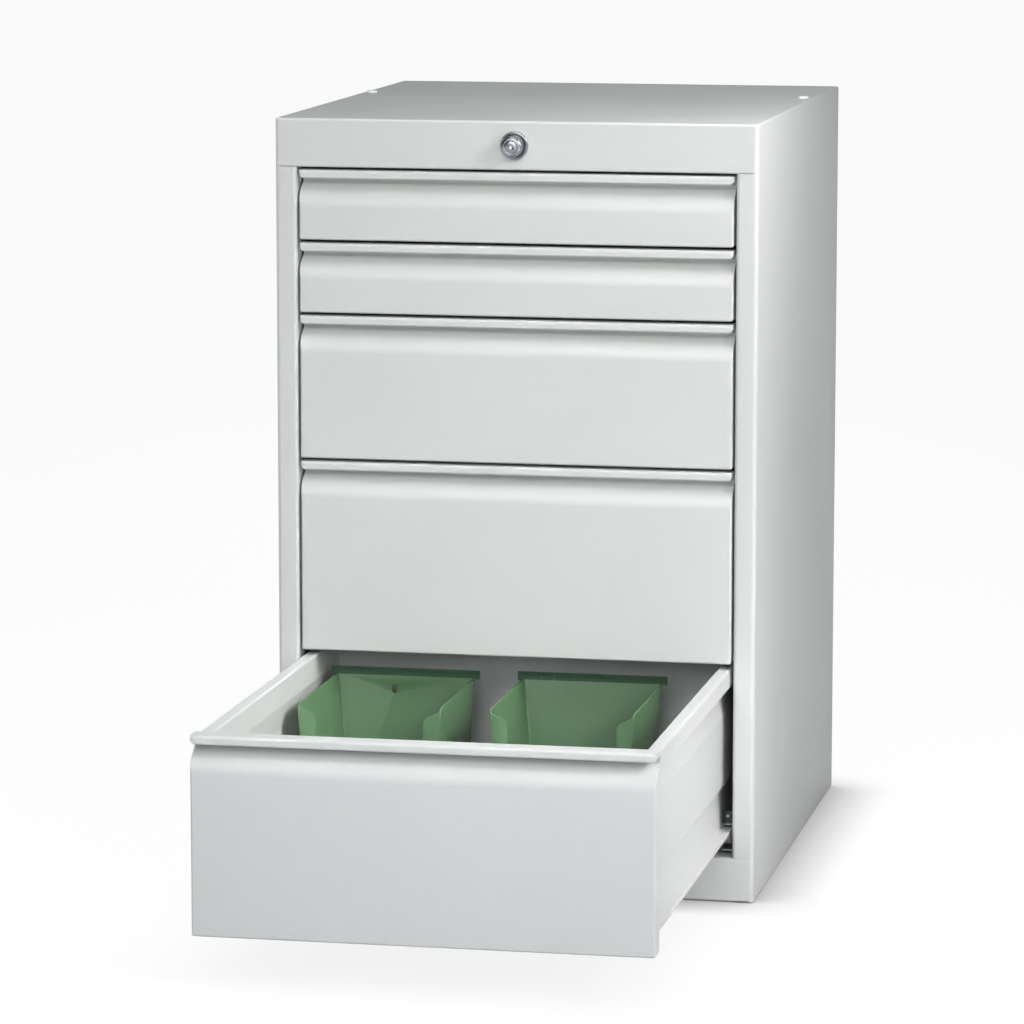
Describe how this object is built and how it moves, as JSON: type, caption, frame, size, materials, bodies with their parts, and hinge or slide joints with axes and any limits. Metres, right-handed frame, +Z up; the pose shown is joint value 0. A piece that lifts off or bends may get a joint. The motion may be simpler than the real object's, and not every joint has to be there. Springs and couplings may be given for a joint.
{
  "type": "drawer cabinet",
  "caption": "Lockable steel pedestal cabinet with full-width roller drawers in three heights, one drawn out with two open-front bins inside.",
  "frame": {"origin": "middle of the cabinet's footprint, on the floor", "axes": "+Z up, -Y is the way the drawers open, +X is on the right of someone who faces the drawers"},
  "size_m": [0.5, 1.047, 0.8026],
  "materials": {
    "body_paint": "fine satin powder coat",
    "zinc_steel": "zinc plated",
    "chrome": "polished nickel",
    "white_plastic": "moulded",
    "black_plastic": "moulded",
    "green_plastic": "moulded, lightly worn"
  },
  "bodies": {
    "cabinet": {"side_panel_left": "body_paint", "side_panel_right": "body_paint", "top_panel": "body_paint", "back_panel": "body_paint", "base_panel": "body_paint", "front_post_left": "zinc_steel", "front_post_right": "zinc_steel", "rear_post_left": "zinc_steel", "rear_post_right": "zinc_steel", "top_plugs": "white_plastic", "floor_glides": "black_plastic", "guide_shoes": "white_plastic", "rail_screws": "zinc_steel", "lock_collar": "chrome", "lock_barrel": "chrome", "lock_nut": "zinc_steel", "rod_bracket": "zinc_steel", "bar_guides": "black_plastic", "cabinet_rails_1": "zinc_steel", "cabinet_rails_2": "zinc_steel", "cabinet_rails_3": "zinc_steel", "cabinet_rails_4": "zinc_steel", "cabinet_rails_5": "zinc_steel"},
    "drawer_1": {"drawer_front_1": "body_paint", "drawer_tray_1": "body_paint", "drawer_catch_1": "zinc_steel"},
    "front_rollers_1": {"front_rollers_1": "white_plastic"},
    "rear_rollers_1": {"rear_rollers_1": "white_plastic"},
    "drawer_2": {"drawer_front_2": "body_paint", "drawer_tray_2": "body_paint", "drawer_catch_2": "zinc_steel"},
    "front_rollers_2": {"front_rollers_2": "white_plastic"},
    "rear_rollers_2": {"rear_rollers_2": "white_plastic"},
    "drawer_3": {"drawer_front_3": "body_paint", "drawer_tray_3": "body_paint", "drawer_catch_3": "zinc_steel"},
    "front_rollers_3": {"front_rollers_3": "white_plastic"},
    "rear_rollers_3": {"rear_rollers_3": "white_plastic"},
    "drawer_4": {"drawer_front_4": "body_paint", "drawer_tray_4": "body_paint", "drawer_catch_4": "zinc_steel"},
    "front_rollers_4": {"front_rollers_4": "white_plastic"},
    "rear_rollers_4": {"rear_rollers_4": "white_plastic"},
    "drawer_5": {"drawer_front_5": "body_paint", "drawer_tray_5": "body_paint", "drawer_catch_5": "zinc_steel"},
    "front_rollers_5": {"front_rollers_5": "white_plastic"},
    "rear_rollers_5": {"rear_rollers_5": "white_plastic"},
    "lock": {"lock_core": "chrome", "drive_rod": "zinc_steel"},
    "locking_bar": {"locking_bar": "zinc_steel"},
    "storage_bin_left": {"storage_bin_left": "green_plastic"},
    "storage_bin_right": {"storage_bin_right": "green_plastic"}
  },
  "joints": [
    {"name": "drawer_1_slide", "type": "slide", "parent": "cabinet", "child": "drawer_1", "axis": [0, -1, 0], "range_m": [0, 0.46]},
    {"name": "front_rollers_1_turn", "type": "hinge", "parent": "cabinet", "child": "front_rollers_1", "pos_m": [0, -0.264, 0.6892], "axis": [1, 0, 0], "range_deg": [0, 2930]},
    {"name": "rear_rollers_1_turn", "type": "hinge", "parent": "drawer_1", "child": "rear_rollers_1", "pos_m": [0, 0.236, 0.69], "axis": [1, 0, 0], "range_deg": [0, 2110]},
    {"name": "drawer_2_slide", "type": "slide", "parent": "cabinet", "child": "drawer_2", "axis": [0, -1, 0], "range_m": [0, 0.46]},
    {"name": "front_rollers_2_turn", "type": "hinge", "parent": "cabinet", "child": "front_rollers_2", "pos_m": [0, -0.264, 0.6142], "axis": [1, 0, 0], "range_deg": [0, 2930]},
    {"name": "rear_rollers_2_turn", "type": "hinge", "parent": "drawer_2", "child": "rear_rollers_2", "pos_m": [0, 0.236, 0.615], "axis": [1, 0, 0], "range_deg": [0, 2110]},
    {"name": "drawer_3_slide", "type": "slide", "parent": "cabinet", "child": "drawer_3", "axis": [0, -1, 0], "range_m": [0, 0.46]},
    {"name": "front_rollers_3_turn", "type": "hinge", "parent": "cabinet", "child": "front_rollers_3", "pos_m": [0, -0.264, 0.4632], "axis": [1, 0, 0], "range_deg": [0, 2930]},
    {"name": "rear_rollers_3_turn", "type": "hinge", "parent": "drawer_3", "child": "rear_rollers_3", "pos_m": [0, 0.236, 0.464], "axis": [1, 0, 0], "range_deg": [0, 2110]},
    {"name": "drawer_4_slide", "type": "slide", "parent": "cabinet", "child": "drawer_4", "axis": [0, -1, 0], "range_m": [0, 0.46]},
    {"name": "front_rollers_4_turn", "type": "hinge", "parent": "cabinet", "child": "front_rollers_4", "pos_m": [0, -0.264, 0.2622], "axis": [1, 0, 0], "range_deg": [0, 2930]},
    {"name": "rear_rollers_4_turn", "type": "hinge", "parent": "drawer_4", "child": "rear_rollers_4", "pos_m": [0, 0.236, 0.263], "axis": [1, 0, 0], "range_deg": [0, 2110]},
    {"name": "drawer_5_slide", "type": "slide", "parent": "cabinet", "child": "drawer_5", "axis": [0, -1, 0], "range_m": [-0.447, 0.013]},
    {"name": "front_rollers_5_turn", "type": "hinge", "parent": "cabinet", "child": "front_rollers_5", "pos_m": [0, -0.264, 0.0632], "axis": [1, 0, 0], "range_deg": [-2847, 84]},
    {"name": "rear_rollers_5_turn", "type": "hinge", "parent": "drawer_5", "child": "rear_rollers_5", "pos_m": [0, -0.211, 0.064], "axis": [1, 0, 0], "range_deg": [-2050, 61]},
    {"name": "lock_turn", "type": "hinge", "parent": "cabinet", "child": "lock", "pos_m": [0, -0.3215, 0.775], "axis": [0, -1, 0], "range_deg": [0, 90]},
    {"name": "locking_bar_slide", "type": "slide", "parent": "cabinet", "child": "locking_bar", "axis": [0, 0, 1], "range_m": [0, 0.01414]},
    {"name": "storage_bin_left_slide", "type": "slide", "parent": "drawer_5", "child": "storage_bin_left", "axis": [0, -1, 0], "range_m": [-0.068, 0.222]},
    {"name": "storage_bin_right_slide", "type": "slide", "parent": "drawer_5", "child": "storage_bin_right", "axis": [0, -1, 0], "range_m": [-0.062, 0.228]}
  ],
  "couplings": [
    {"joint": "front_rollers_1_turn", "follows": "drawer_1_slide", "rad_per_m": 111.11},
    {"joint": "rear_rollers_1_turn", "follows": "drawer_1_slide", "rad_per_m": 80},
    {"joint": "front_rollers_2_turn", "follows": "drawer_2_slide", "rad_per_m": 111.11},
    {"joint": "rear_rollers_2_turn", "follows": "drawer_2_slide", "rad_per_m": 80},
    {"joint": "front_rollers_3_turn", "follows": "drawer_3_slide", "rad_per_m": 111.11},
    {"joint": "rear_rollers_3_turn", "follows": "drawer_3_slide", "rad_per_m": 80},
    {"joint": "front_rollers_4_turn", "follows": "drawer_4_slide", "rad_per_m": 111.11},
    {"joint": "rear_rollers_4_turn", "follows": "drawer_4_slide", "rad_per_m": 80},
    {"joint": "front_rollers_5_turn", "follows": "drawer_5_slide", "rad_per_m": 111.11},
    {"joint": "rear_rollers_5_turn", "follows": "drawer_5_slide", "rad_per_m": 80},
    {"joint": "lock_turn", "follows": "locking_bar_slide", "rad_per_m": 111.07}
  ]
}
